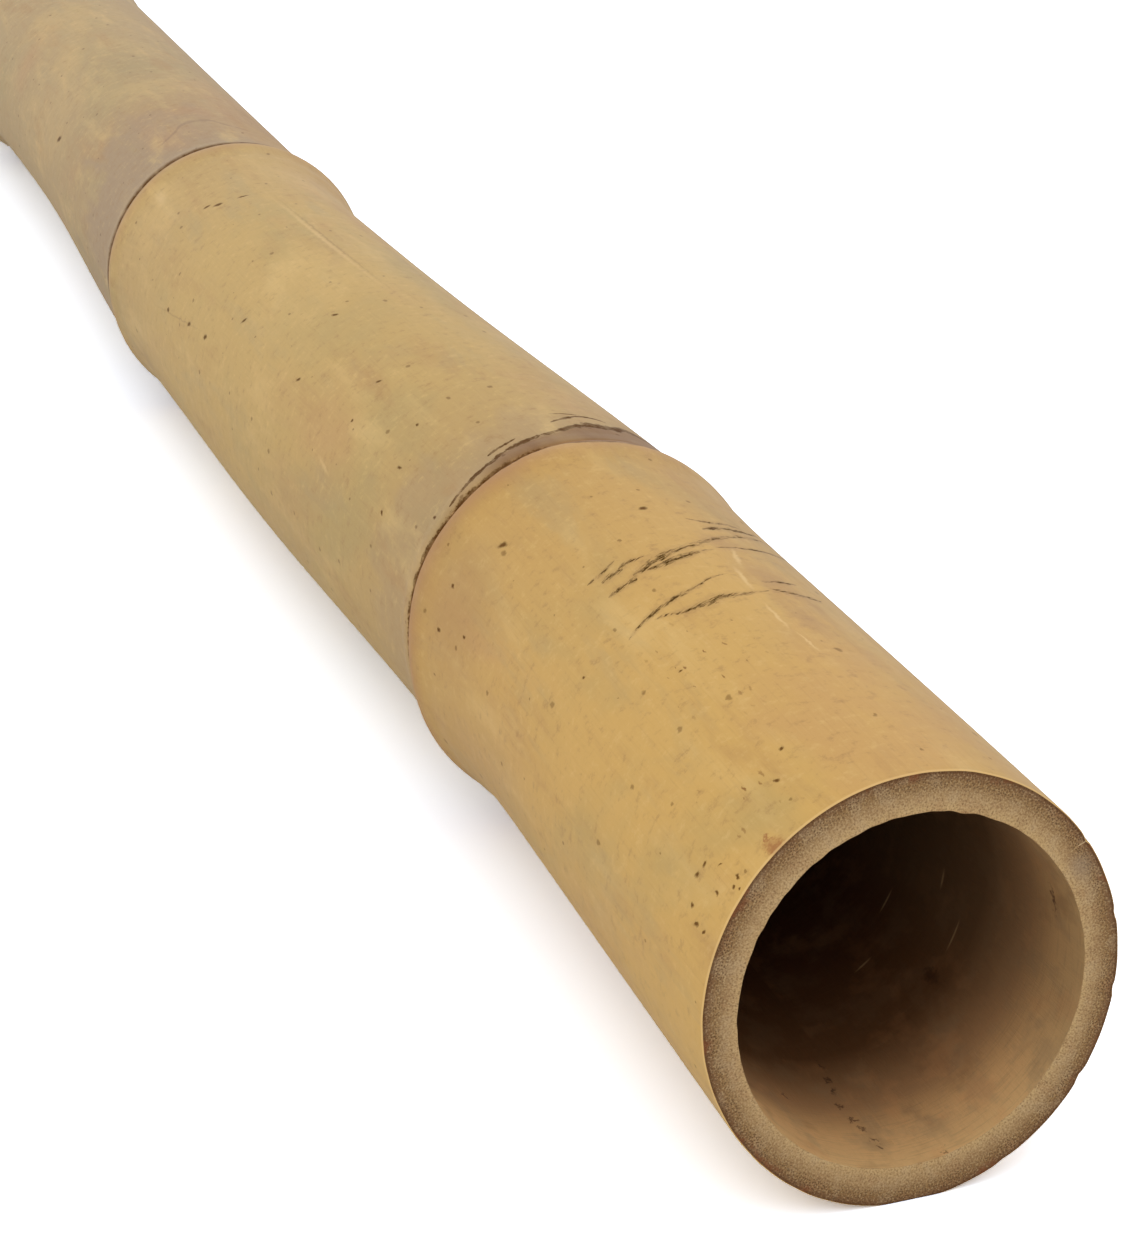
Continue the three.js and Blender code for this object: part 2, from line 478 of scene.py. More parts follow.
def make_cane():
    """Joins the bands' rings one after another, and the last to the first, into one closed grid."""
    bands = cane_bands()
    points = lie_on_floor(np.concatenate([band.points for band in bands]))
    corner_rows, corner_sides = grid_corners(len(points))
    material_of_row = np.concatenate([np.full(len(band.points), band.material) for band in bands])
    material = material_of_row[corner_rows[:, :1]]

    mesh = bpy.data.meshes.new("bamboo_culm")
    mesh.from_pydata(points.reshape(-1, 3), [], corner_rows * AROUND + corner_sides)
    mesh.polygons.foreach_set("material_index", material.astype(np.int32).ravel())
    mesh.polygons.foreach_set("use_smooth", np.ones(len(material), bool))
    along, around = flat_map(bands, corner_rows, corner_sides)
    add_map(mesh, "cane_map", along * MM, around * MM)
    add_map(mesh, "OFBake", *bake_map(along, around, material))
    mesh.validate()
    mesh.update()

    cane = bpy.data.objects.new("bamboo_culm", mesh)
    bpy.context.scene.collection.objects.link(cane)
    return cane


cane = make_cane()
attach(cane, "root")
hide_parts("culm")


# Short ways to add nodes


def linear(red, green, blue):
    """A screen colour, 0 to 255 each, as the linear colour that the shaders take."""

    def one(level):
        level = level / 255
        return level / 12.92 if level <= 0.04045 else ((level + 0.055) / 1.055) ** 2.4

    return (one(red), one(green), one(blue), 1)


def add(tree, kind, inputs=None, **settings):
    """Adds a node, with its settings, and with each input given a value or another node's output."""
    node = tree.nodes.new(kind)
    for name, setting in settings.items():
        setattr(node, name, setting)
    for key, given in (inputs or {}).items():
        if isinstance(given, bpy.types.NodeSocket):
            tree.links.new(given, node.inputs[key])
        else:
            node.inputs[key].default_value = given
    return node


def calc(tree, operation, *terms):
    """One step of arithmetic."""
    return add(tree, "ShaderNodeMath", dict(enumerate(terms)), operation=operation).outputs[0]


def product(tree, *terms):
    """The terms multiplied together, one after another."""
    total = terms[0]
    for term in terms[1:]:
        total = calc(tree, "MULTIPLY", total, term)
    return total


def fade(tree, amount, start, end, low=0, high=1):
    """Eases from low at start to high at end, and stays at those outside."""
    inputs = {"Value": amount, "From Min": start, "From Max": end, "To Min": low, "To Max": high}
    return add(tree, "ShaderNodeMapRange", inputs, interpolation_type="SMOOTHSTEP").outputs["Result"]


def mixed(tree, share, base, over):
    """The base colour with a share of the other over it."""
    node = add(tree, "ShaderNodeMix", data_type="RGBA")
    for socket, given in ((node.inputs[0], share), (node.inputs[6], base), (node.inputs[7], over)):
        if isinstance(given, bpy.types.NodeSocket):
            tree.links.new(given, socket)
        else:
            socket.default_value = given
    return node.outputs[2]


class Coat:
    """A material's colour as it builds up, layer by layer."""

    def __init__(self, tree, colour):
        self.tree = tree
        self.colour = colour

    def over(self, share, red, green, blue):
        """Lays a colour over the rest, where and as strongly as the share says."""
        self.colour = mixed(self.tree, share, self.colour, linear(red, green, blue))


def vector_calc(tree, operation, *terms):
    node = add(tree, "ShaderNodeVectorMath", dict(enumerate(terms)), operation=operation)
    return node.outputs["Value" if operation == "LENGTH" else "Vector"]


def noise(tree, place, scale, detail=2, roughness=0.5, dimensions="3D", distortion=0):
    inputs = {"Vector": place, "Scale": scale, "Detail": detail, "Roughness": roughness}
    inputs["Distortion"] = distortion
    return add(tree, "ShaderNodeTexNoise", inputs, noise_dimensions=dimensions).outputs


def shaken(tree, place, scale, reach, **settings):
    """The place moved about at random, by up to half the reach, to give marks uneven edges."""
    moves = noise(tree, place, scale, dimensions="2D", **settings)["Color"]
    moves = vector_calc(tree, "SUBTRACT", moves, (0.5, 0.5, 0.5))
    return vector_calc(tree, "ADD", place, vector_calc(tree, "MULTIPLY", moves, reach))


def three_noises(tree, place, scale, **settings):
    """Three patterns of one kind that have nothing to do with each other."""
    colour = noise(tree, place, scale, **settings)["Color"]
    parts = add(tree, "ShaderNodeSeparateColor", {"Color": colour}).outputs
    return parts["Red"], parts["Green"], parts["Blue"]


def greatest(tree, masks):
    """Where any of the masks is on."""
    total = masks[0]
    for mask in masks[1:]:
        total = calc(tree, "MAXIMUM", total, mask)
    return total


def new_group(name, inputs, outputs):
    """A shader node group with its inputs, as name: (socket kind, default), and its outputs."""
    tree = bpy.data.node_groups.new(name, "ShaderNodeTree")
    for key, (kind, default) in inputs.items():
        socket = tree.interface.new_socket(key, in_out="INPUT", socket_type="NodeSocket" + kind)
        if default is not None:
            socket.default_value = default
    for key, kind in outputs.items():
        tree.interface.new_socket(key, in_out="OUTPUT", socket_type="NodeSocket" + kind)
    start = tree.nodes.new("NodeGroupInput")
    end = tree.nodes.new("NodeGroupOutput")
    return tree, start.outputs, end.inputs


def use(tree, group, **inputs):
    """Puts a group into a tree. Underscores in the input names stand for spaces."""
    node = add(tree, "ShaderNodeGroup", node_tree=group)
    for key, given in inputs.items():
        socket = node.inputs[key.replace("_", " ")]
        if isinstance(given, bpy.types.NodeSocket):
            tree.links.new(given, socket)
        else:
            socket.default_value = given
    return node.outputs


# Effects that are used more than once. Place is a point of the cane's flat map, in metres.


def make_fibres():
    """Fine lines along the cane, like its fibres: noise drawn out along it."""
    tree, given, made = new_group(
        "fibres",
        {"Place": ("Vector", None), "Width": ("Float", 0.0005), "Length": ("Float", 0.03)},
        {"Lines": "Float"},
    )
    size = add(tree, "ShaderNodeCombineXYZ", {"X": given["Length"], "Y": given["Width"], "Z": 1.0})
    place = vector_calc(tree, "DIVIDE", given["Place"], size.outputs[0])
    lines = noise(tree, place, 1, detail=3, roughness=0.6, dimensions="2D")["Fac"]
    tree.links.new(lines, made["Lines"])
    return tree


def make_specks():
    """Specks of mixed sizes, scattered at random: small ovals in some cells of a random net."""
    tree, given, made = new_group(
        "scattered_specks",
        {
            "Place": ("Vector", None),
            "Stretch": ("Vector", (0.6, 1, 1)),
            "Spacing": ("Float", 0.01),
            "Largest": ("Float", 0.0008),
            "Share": ("Float", 0.5),
        },
        {"Mask": "Float"},
    )
    stretched = vector_calc(tree, "MULTIPLY", given["Place"], given["Stretch"])
    place = vector_calc(tree, "DIVIDE", stretched, given["Spacing"])
    cells = add(tree, "ShaderNodeTexVoronoi", {"Vector": place, "Scale": 1.0}, voronoi_dimensions="2D")
    draws = add(tree, "ShaderNodeSeparateColor", {"Color": cells.outputs["Color"]}).outputs
    size = calc(tree, "MULTIPLY_ADD", draws["Green"], 0.75, 0.25)
    size = calc(tree, "DIVIDE", product(tree, size, given["Largest"]), given["Spacing"])
    inside = fade(tree, cells.outputs["Distance"], size, product(tree, size, 0.4))
    chosen = calc(tree, "LESS_THAN", draws["Red"], given["Share"])
    tree.links.new(product(tree, inside, chosen), made["Mask"])
    return tree


def make_mark():
    """One soft-edged oval mark: 1 inside and 0 outside the oval of Half Size turned by Turn."""
    tree, given, made = new_group(
        "mark",
        {
            "Place": ("Vector", None),
            "Centre": ("Vector", None),
            "Turn": ("Vector", None),
            "Half Size": ("Vector", (0.01, 0.01, 1)),
            "Softness": ("Float", 0.5),
        },
        {"Mask": "Float"},
    )
    inputs = {
        "Vector": given["Place"],
        "Location": given["Centre"],
        "Rotation": given["Turn"],
        "Scale": given["Half Size"],
    }
    local = add(tree, "ShaderNodeMapping", inputs, vector_type="TEXTURE").outputs[0]
    distance = vector_calc(tree, "LENGTH", local)
    inner = calc(tree, "SUBTRACT", 1.0, given["Softness"])
    tree.links.new(fade(tree, distance, 1.0, inner), made["Mask"])
    return tree


def make_scar():
    """Masks for one node, by the distance past its scar: the dark line in the scar, the warm glow
    just before it, and the grey bloom beyond it, which ends in clouds."""
    tree, given, made = new_group(
        "sheath_scar",
        {
            "Along": ("Float", 0),
            "Scar At": ("Float", 0),
            "Line Width": ("Float", 0.0006),
            "Bloom": ("Float", 0.06),
            "Rough": ("Float", 0.5),
            "Slow": ("Float", 0.5),
            "Cloud": ("Float", 0.5),
        },
        {"Line": "Float", "Glow": "Float", "Bloom": "Float"},
    )
    distance = calc(tree, "SUBTRACT", given["Along"], given["Scar At"])
    jitter = calc(tree, "MULTIPLY_ADD", given["Rough"], 0.0012, -0.0006)
    near = calc(tree, "ADD", distance, jitter)

    # The line, thicker and thinner in turn
    thickness = calc(tree, "MULTIPLY_ADD", given["Slow"], 1.4, 0.3)
    width = product(tree, given["Line Width"], thickness)
    apart = calc(tree, "ABSOLUTE", near)
    line = fade(tree, apart, product(tree, width, 2.2), product(tree, width, 0.3))

    # The glow before it, and the bloom from it on
    reach = calc(tree, "MULTIPLY_ADD", given["Cloud"], -0.03, 0.004)
    glow = product(tree, fade(tree, near, reach, 0), fade(tree, near, 0.0012, 0.0002))
    past = calc(tree, "DIVIDE", distance, given["Bloom"])
    past = calc(tree, "ADD", past, calc(tree, "MULTIPLY_ADD", given["Cloud"], 2.4, -1.2))
    bloom = product(tree, fade(tree, near, -0.0004, 0.0008), fade(tree, past, 1.15, 0.55))
    tree.links.new(line, made["Line"])
    tree.links.new(glow, made["Glow"])
    tree.links.new(bloom, made["Bloom"])
    return tree


FIBRES = make_fibres()
SPECKS = make_specks()
MARK = make_mark()
SCAR = make_scar()


def map_turn(angle):
    """The flat map's distance around, in metres, for an angle in degrees."""
    return MAP_TURN * turn_from_underside(math.radians(angle)) * MM


def cane_place(tree):
    return add(tree, "ShaderNodeUVMap", uv_map="cane_map").outputs["UV"]


def marks(tree, place, listed, softness=0.5):
    """All the listed marks in one mask. Each is (along, angle, half length, half width, turn) in
    millimetres and degrees; its turn is from the cane's direction towards a growing angle."""
    masks = []
    for along, angle, half_length, half_width, turn in listed:
        masks.append(
            use(
                tree,
                MARK,
                Place=place,
                Centre=(along * MM, map_turn(angle), 0),
                Turn=(0, 0, math.radians(turn)),
                Half_Size=(half_length * MM, half_width * MM, 1),
                Softness=softness,
            )["Mask"]
        )
    return greatest(tree, masks)


def ramp(tree, amount, stops):
    """A colour ramp with stops as (position, colour)."""
    node = add(tree, "ShaderNodeValToRGB", {"Fac": amount})
    elements = node.color_ramp.elements
    elements[0].position, elements[0].color = stops[0]
    elements[1].position, elements[1].color = stops[-1]
    for position, colour in stops[1:-1]:
        elements.new(position).color = colour
    return node.outputs["Color"]


def curve(tree, amount, points):
    """A smooth line through points of (amount, value), all of them from 0 to 1."""
    node = add(tree, "ShaderNodeFloatCurve", {"Value": amount})
    line = node.mapping.curves[0].points
    line[0].location = points[0]
    line[1].location = points[-1]
    for point in points[1:-1]:
        line.new(*point)
    node.mapping.update()
    return node.outputs[0]


def place_by_angle(tree, around, points):
    """A line round the cane through points of (angle, distance along): that distance in metres, for
    the distance around, with the share of the way that it has gone."""
    turns = [map_turn(angle) for angle, _ in points]
    inputs = {"Value": around, "From Min": turns[0], "From Max": turns[-1]}
    share = add(tree, "ShaderNodeMapRange", inputs).outputs["Result"]
    shares = [(turn - turns[0]) / (turns[-1] - turns[0]) for turn in turns]
    low = min(along for _, along in points) - 1
    span = max(along for _, along in points) + 1 - low
    line = curve(tree, share, [(one, (along - low) / span) for one, (_, along) in zip(shares, points)])
    return calc(tree, "MULTIPLY_ADD", line, span * MM, low * MM), share, shares


# A scrape's least half width, its level where it is thin, and how steeply it ends where it narrows
# to nothing
THINNEST = 0.05
THIN_LEVEL = 0.4
END_STEEPNESS = 14


def scrape(tree, axes, points):
    """A scrape round the cane through points of (angle, distance along, half width), by growing
    angle: 1 in its middle where it is widest, less where it is thin, and less than 0 outside it."""
    middle, share, shares = place_by_angle(tree, axes["Y"], [point[:2] for point in points])
    half_widths = [point[2] for point in points]
    widest = max(half_widths)
    width = curve(tree, share, [(one, half / widest) for one, half in zip(shares, half_widths)])
    apart = calc(tree, "ABSOLUTE", calc(tree, "SUBTRACT", axes["X"], middle))
    real_width = calc(tree, "MAXIMUM", product(tree, width, widest * MM), THINNEST * MM)
    level = calc(tree, "SUBTRACT", 1.0, calc(tree, "DIVIDE", apart, real_width))
    most = calc(tree, "MULTIPLY_ADD", width, 1 - THIN_LEVEL, THIN_LEVEL)
    within_ends = calc(tree, "MULTIPLY_ADD", width, END_STEEPNESS, -1)
    return calc(tree, "MINIMUM", calc(tree, "MINIMUM", level, most), within_ends)


# The skin's marks, as (along, angle, half length, half width, turn)

SKIN_SPECKS = (
    (147, 131.3, 2.0, 1.1, 30),
    (131.4, 91, 1.2, 1.5, 60),
    (155, 151.4, 0.9, 0.6, 0),
    (155, 165.6, 1.3, 0.7, 0),
    (141, 160, 1.0, 0.6, 0),
    (212, 138.3, 1.5, 0.6, 10),
    (181, 141.4, 1.2, 0.6, 0),
    (208, 153.5, 1.1, 0.6, 0),
    (440, 115.3, 2.4, 1.3, 60),
    (437, 104.7, 2.4, 0.8, 70),
    (444, 119.5, 1.6, 1.0, 70),
    (418, 162.4, 2.0, 0.9, 10),
    (392, 158.6, 2.2, 0.9, 10),
    (373, 156.8, 2.2, 1.0, 10),
    (350, 140, 1.8, 0.8, 40),
    (308, 114.6, 1.8, 0.8, 30),
    (255, 122, 1.4, 0.9, 30),
    (293, 141, 1.3, 0.7, 30),
    (250, 138.2, 1.0, 0.6, 0),
    (221, 124, 1.0, 0.5, 0),
    (636, 154.9, 4.0, 1.6, 20),
    (86, 139, 0.7, 0.5, 0),
    (63, 118, 0.7, 0.5, 40),
)
NEAR_CUT_SPECKS = (
    (15.2, 149.4, 1.0, 0.8, 30),
    (14.8, 145.8, 0.7, 0.8, 20),
    (12.4, 155.6, 0.8, 0.6, 40),
    (9.0, 158.3, 1.2, 0.6, 30),
    (5.6, 157.9, 0.7, 0.4, 30),
    (6.9, 148.3, 0.7, 0.5, 20),
    (3.5, 143.9, 0.7, 0.5, 10),
    (1.7, 142.8, 0.6, 0.4, 10),
    (4.1, 141.5, 1.1, 0.4, 10),
    (10.7, 143.0, 0.9, 0.3, 40),
    (15.2, 119.0, 0.9, 0.6, 20),
    (22.8, 112.8, 0.8, 0.8, 70),
)
PALE_SCRATCHES = (
    (102, 78.4, 6.5, 0.9, 166),
    (90, 83.4, 8, 0.8, 175),
    (70, 85.2, 9, 0.6, 179),
    (57, 84, 7, 0.4, 184),
)
LIGHT_STREAKS = ((373, 93.2, 78, 0.9, 1.2), (252, 157, 8, 0.9, 170), (480, 131, 9, 2.6, 176))
DARK_STREAKS = ((368, 91.4, 78, 0.5, 1.2), (405, 161, 38, 0.4, 7))
EDGE_STAIN = ((1.8, 130.6, 3.6, 1.9, 0), (0.6, 130, 2, 2.6, 0), (4.4, 129.4, 2.6, 0.7, 20))
BROWN_SMEARS = ((92, 76, 13, 8, 10), (68, 77, 14, 4.5, 4), (110, 78, 9, 5, 20), (150, 156, 26, 20, 0))
DASH_AREAS = ((19, 130, 17, 14, 0), (60, 112, 28, 16, 0))

# The dark scrapes across the skin, as points of (angle, distance along, half width). The streaks in
# them slant by this distance along for each distance around.
SCRAPE_SLANT = 0.42
SCRAPES = (
    ((110, 107.9, 0), (113.9, 107.8, 1.3), (117.5, 107.4, 0)),
    (
        (40, 129, 0),
        (50, 125.5, 0.7),
        (60, 120.9, 0.9),
        (70, 116.2, 1.1),
        (79, 112.3, 1.2),
        (89, 108.6, 1.3),
        (95.7, 107.2, 1.9),
        (102, 105.3, 2.5),
        (106, 104.2, 1.8),
        (112.3, 101.8, 0.5),
        (115, 101.2, 0),
    ),
    ((82, 106.2, 0), (89, 105, 1), (97, 103.4, 1.8), (102, 103, 1.4), (105, 102.8, 0)),
    ((38, 123, 0), (46, 119.4, 0.6), (61.7, 111.6, 0.8), (71.6, 108.6, 0.7), (82, 107, 0)),
    ((52, 128, 0), (55, 126.6, 0.4), (63, 122.6, 1.1), (73.5, 120, 1.4), (80, 117.8, 0)),
    ((61, 124.8, 0), (64, 124.8, 0.4), (68.5, 124.6, 1), (73.5, 122.9, 0.9), (82, 124.4, 0)),
    ((109, 101.7, 0), (111, 101.5, 1.2), (113.5, 101.6, 1.4), (119, 101, 0)),
    ((110, 112.8, 0), (115.8, 110.8, 0.7), (121, 110.2, 0)),
    ((102, 109.2, 0), (104.5, 109.2, 0.3), (108, 109.4, 1.0), (112, 108.4, 0.4), (121, 106.4, 0)),
    (
        (86, 92.7, 0),
        (92.5, 91.6, 0.5),
        (97.5, 89.3, 0.7),
        (107.9, 87.2, 1.1),
        (117, 85.2, 0.8),
        (123, 83.2, 0),
    ),
    (
        (78, 83.6, 0),
        (83, 82.6, 0.5),
        (89.8, 81.8, 1.3),
        (94.2, 82.1, 1.8),
        (98, 81.4, 2.0),
        (104, 81.2, 1.2),
        (112, 83.6, 0.5),
        (114, 83.8, 0),
    ),
    ((66, 90.8, 0), (72.7, 89.3, 0.8), (79, 88.2, 0)),
    ((62, 84.4, 0), (68, 83.4, 1.1), (79, 84.4, 0)),
)

# Each node's scar line, and how far and how strongly the grey bloom reaches past it
SCAR_WIDTHS = (0.0006, 0.0018, 0.0012, 0.0012)
BLOOM_LENGTHS = (0.03, 0.075, 0.08, 0.07)
BLOOM_STRENGTHS = (0.3, 0.62, 0.55, 0.5)

# The first node's scar: the line all round, the torn edge beyond it, and two fine lines past that
SCAR_LINE = (
    (-89, 174, 1.2),
    (20, 174, 1.2),
    (48, 172, 0.5),
    (82, 171, 0.3),
    (95, 172.6, 0.6),
    (103, 173.6, 1.5),
    (125, 174, 1.9),
    (150, 174, 1.7),
    (269, 174, 1.3),
)
TORN_EDGE = (
    (30, 184, 0),
    (50, 188, 1.4),
    (63, 190, 2.4),
    (72, 188, 3),
    (81, 187.4, 2.6),
    (92, 184, 1.3),
    (106, 182, 1.4),
    (122, 179.4, 1.5),
    (131, 178, 1),
    (136, 177, 0),
)
FINE_EDGES = (
    ((70, 192.4, 0), (77.7, 194.7, 0.8), (85.2, 192.8, 0.9), (91, 190.6, 0)),
    ((78, 195.6, 0), (82, 196.2, 0.4), (89, 196.8, 0)),
    ((105, 186, 0), (109, 185.3, 0.7), (113, 184.9, 0.7), (116, 184.4, 0)),
)

# The brown band between the line and the torn edge, as points of (angle, distance along)
BAND_START = ((20, 173), (48, 171.6), (82, 170), (94, 172), (104, 174), (150, 174), (165, 174))
BAND_END = (
    (20, 174),
    (50, 187),
    (63, 189),
    (72, 187),
    (81, 186.4),
    (92, 183),
    (106, 181),
    (122, 179.4),
    (150, 175),
    (165, 174),
)

# How much the skin reflects
SKIN_SHEEN = 0.15

# A faint ripple in the bloom past the second node
RIPPLE = ((66, 528, 0), (80, 533, 1.8), (89, 541, 2.8), (98, 541, 2.4), (106, 533, 1.8), (116, 525, 0))


def finish(coat, roughness, height, depth, sheen):
    """The material's shader, with the height as relief of the given depth in millimetres."""
    inputs = {"Height": height, "Distance": depth * MM, "Strength": 1.0}
    relief = add(coat.tree, "ShaderNodeBump", inputs).outputs[0]
    inputs = {"Base Color": coat.colour, "Roughness": roughness, "Normal": relief}
    inputs["Specular IOR Level"] = sheen
    shader = add(coat.tree, "ShaderNodeBsdfPrincipled", inputs)
    add(coat.tree, "ShaderNodeOutputMaterial", {"Surface": shader.outputs[0]})


def new_material(name):
    material = bpy.data.materials.new(name)
    material.use_nodes = True
    material.node_tree.nodes.clear()
    return material, material.node_tree


def make_rind():
    """Ochre rind: yellower towards the near cut and greyer past each node, mottled, finely lined,
    with brown scars, a grey bloom beyond them, scrapes, specks and scratches."""
    material, tree = new_material("bamboo_rind")
    place = cane_place(tree)
    space = add(tree, "ShaderNodeTexCoord").outputs["Object"]
    axes = add(tree, "ShaderNodeSeparateXYZ", {"Vector": place}).outputs

    def times(*terms):
        return product(tree, *terms)

    # The plain colour by the share of the length, with a step at each scar
    plain = ramp(
        tree,
        calc(tree, "DIVIDE", axes["X"], LENGTH * MM),
        [
            (0.0, linear(208, 166, 92)),
            (0.06, linear(206, 164, 92)),
            (0.112, linear(196, 155, 88)),
            (0.12, linear(184, 150, 94)),
            (0.16, linear(194, 160, 96)),
            (0.27, linear(197, 163, 98)),
            (0.333, linear(188, 155, 98)),
            (0.337, linear(172, 145, 104)),
            (0.38, linear(174, 145, 98)),
            (0.46, linear(177, 149, 103)),
            (0.578, linear(178, 151, 107)),
            (0.582, linear(170, 146, 108)),
            (0.7, linear(188, 155, 100)),
            (0.82, linear(192, 157, 96)),
            (0.825, linear(174, 149, 108)),
            (1.0, linear(196, 159, 98)),
        ],
    )
    coat = Coat(tree, plain)
    over = coat.over

    # The scars' masks, and the grey bloom past each
    broad = vector_calc(tree, "MULTIPLY", space, (20, 9, 20))
    pinkish, greenish, pale = three_noises(tree, broad, 1, detail=4, roughness=0.6, distortion=0.4)
    drawn = vector_calc(tree, "MULTIPLY", space, (85, 17, 85))
    brownish, greyish, bright = three_noises(tree, drawn, 1, detail=5, roughness=0.62, distortion=0.25)
    rough, freckles, _ = three_noises(tree, space, 330, detail=4, roughness=0.72)
    scars = [
        use(
            tree,
            SCAR,
            Along=axes["X"],
            Scar_At=node.at * MM,
            Line_Width=width,
            Bloom=bloom,
            Rough=rough,
            Slow=pale,
            Cloud=greyish,
        )
        for node, width, bloom in zip(NODES, SCAR_WIDTHS, BLOOM_LENGTHS)
    ]
    blooms = [times(scar["Bloom"], strength) for scar, strength in zip(scars, BLOOM_STRENGTHS)]
    bloom = greatest(tree, blooms)
    over(bloom, 164, 140, 116)

    # Broad clouds, smaller ones drawn out along the cane, and small flecks
    over(fade(tree, pinkish, 0.5, 0.68, high=0.34), 190, 142, 96)
    over(fade(tree, greenish, 0.5, 0.68, high=0.34), 160, 144, 96)
    over(fade(tree, pale, 0.5, 0.7, high=0.3), 222, 186, 118)
    over(fade(tree, brownish, 0.52, 0.72, high=0.4), 172, 128, 76)
    over(fade(tree, greyish, 0.52, 0.72, high=0.3), 166, 146, 106)
    over(fade(tree, bright, 0.52, 0.72, high=0.34), 224, 190, 124)
    over(fade(tree, freckles, 0.53, 0.76, high=0.5), 160, 120, 70)
    over(fade(tree, freckles, 0.47, 0.26, high=0.27), 228, 194, 128)

    # Painted shade on both sides: the left side, away from the light, duller and a little greener, and the
    # right side a little browner
    over(fade(tree, axes["Y"], map_turn(151), map_turn(218), high=0.2), 164, 140, 94)
    over(fade(tree, axes["Y"], map_turn(88), map_turn(52), high=0.36), 150, 114, 70)

    # The fibres
    fine = use(tree, FIBRES, Place=place, Width=0.0005, Length=0.016)["Lines"]
    over(fade(tree, fine, 0.54, 0.84, high=0.14), 150, 112, 66)
    over(fade(tree, fine, 0.44, 0.2, high=0.08), 226, 194, 134)

    # Painted shade on the first node's ridge, before its scar's line beside its tear, and the warm glow
    # before each scar
    shade = times(fade(tree, axes["X"], 0.1625, 0.172), fade(tree, axes["X"], 0.1745, 0.1738))
    shade = times(shade, fade(tree, axes["Y"], map_turn(94), map_turn(118)))
    over(times(shade, 0.5), 158, 112, 66)
    over(times(greatest(tree, [scar["Glow"] for scar in scars]), 0.42), 184, 126, 76)

    # The torn sheath's brown band past the first scar, then the scars' lines
    band_start = place_by_angle(tree, axes["Y"], BAND_START)[0]
    band_end = place_by_angle(tree, axes["Y"], BAND_END)[0]
    jitter = calc(tree, "MULTIPLY_ADD", rough, 0.003, -0.0015)
    along = calc(tree, "ADD", axes["X"], jitter)
    past_start = fade(tree, calc(tree, "SUBTRACT", along, band_start), -0.001, 0.0012)
    before_end = fade(tree, calc(tree, "SUBTRACT", along, band_end), 0.0006, -0.0006)
    band = times(past_start, before_end, fade(tree, bright, 0.3, 0.6, low=0.9, high=0.66))
    band = times(band, fade(tree, axes["Y"], map_turn(126), map_turn(112), low=0.15))
    over(band, 124, 84, 44)
    ragged = calc(tree, "MULTIPLY_ADD", rough, 3.2, -1.6)
    edges = [scrape(tree, axes, points) for points in (SCAR_LINE, TORN_EDGE, *FINE_EDGES)]
    first_line = fade(tree, calc(tree, "ADD", greatest(tree, edges), ragged), 0.05, 0.6)
    inside = fade(tree, greatest(tree, edges), -0.35, 0.1)
    line = greatest(tree, [times(first_line, inside)] + [scar["Line"] for scar in scars[1:]])
    line = times(line, fade(tree, freckles, 0.38, 0.58, low=0.62, high=0.92))
    over(line, 86, 52, 18)

    # Stains and smears
    rough_place = shaken(tree, place, 420, (0.006, 0.005, 0), detail=3, roughness=0.65)
    over(times(marks(tree, rough_place, BROWN_SMEARS, softness=0.9), 0.42), 168, 128, 84)
    over(times(marks(tree, rough_place, EDGE_STAIN, softness=0.9), 0.7), 150, 84, 40)

    # Scrapes, broken up by streaks that run round the cane
    across = calc(tree, "MULTIPLY_ADD", axes["Y"], SCRAPE_SLANT, axes["X"])
    slanted = add(tree, "ShaderNodeCombineXYZ", {"X": across, "Y": axes["Y"]}).outputs[0]
    grain = vector_calc(tree, "DIVIDE", slanted, (0.0006, 0.0026, 1))
    streaks = noise(tree, grain, 1, detail=4, roughness=0.78, dimensions="2D")["Fac"]
    level = greatest(tree, [scrape(tree, axes, points) for points in SCRAPES])
    scraped = fade(tree, calc(tree, "ADD", level, calc(tree, "MULTIPLY_ADD", streaks, 4.2, -2.4)), 0.1, 0.6)
    scraped = times(scraped, fade(tree, level, 0, 0.2), fade(tree, freckles, 0.4, 0.56, low=0.5))
    over(times(fade(tree, calc(tree, "ADD", level, ragged), -0.9, 0.5), 0.28), 166, 126, 78)
    over(times(scraped, 0.92), 58, 34, 4)
    ripple = fade(tree, calc(tree, "ADD", scrape(tree, axes, RIPPLE), times(ragged, 0.5)), 0, 0.9)
    over(times(ripple, 0.4), 134, 104, 84)

    # Short dark dashes along the cane near the cut, then specks
    less_rough = shaken(tree, place, 420, (0.0015, 0.00125, 0), detail=3, roughness=0.65)
    dashes = use(
        tree, SPECKS, Place=less_rough, Stretch=(0.25, 1, 1), Spacing=0.0022, Largest=0.0004, Share=0.5
    )
    dashes = times(dashes["Mask"], marks(tree, place, DASH_AREAS, softness=0.9))
    over(times(dashes, 0.9), 136, 90, 34)
    placed = marks(tree, less_rough, SKIN_SPECKS + NEAR_CUT_SPECKS, softness=0.7)
    scattered = use(tree, SPECKS, Place=less_rough, Spacing=0.013, Largest=0.0008, Share=0.7)["Mask"]
    specks = times(calc(tree, "MAXIMUM", placed, times(scattered, 0.55)), 0.86)
    over(specks, 84, 45, 4)

    # Pale scratches
    pale_marks = calc(
        tree,
        "MAXIMUM",
        marks(tree, less_rough, PALE_SCRATCHES, softness=0.8),
        times(marks(tree, less_rough, LIGHT_STREAKS, softness=0.9), 0.6),
    )
    over(times(pale_marks, 0.5), 232, 200, 142)
    over(times(marks(tree, less_rough, DARK_STREAKS, softness=0.9), 0.32), 138, 102, 56)

    # A painted highlight along the near cut's rounded rim
    over(fade(tree, axes["X"], 0.0006, 0.0002, high=0.5), 236, 198, 136)

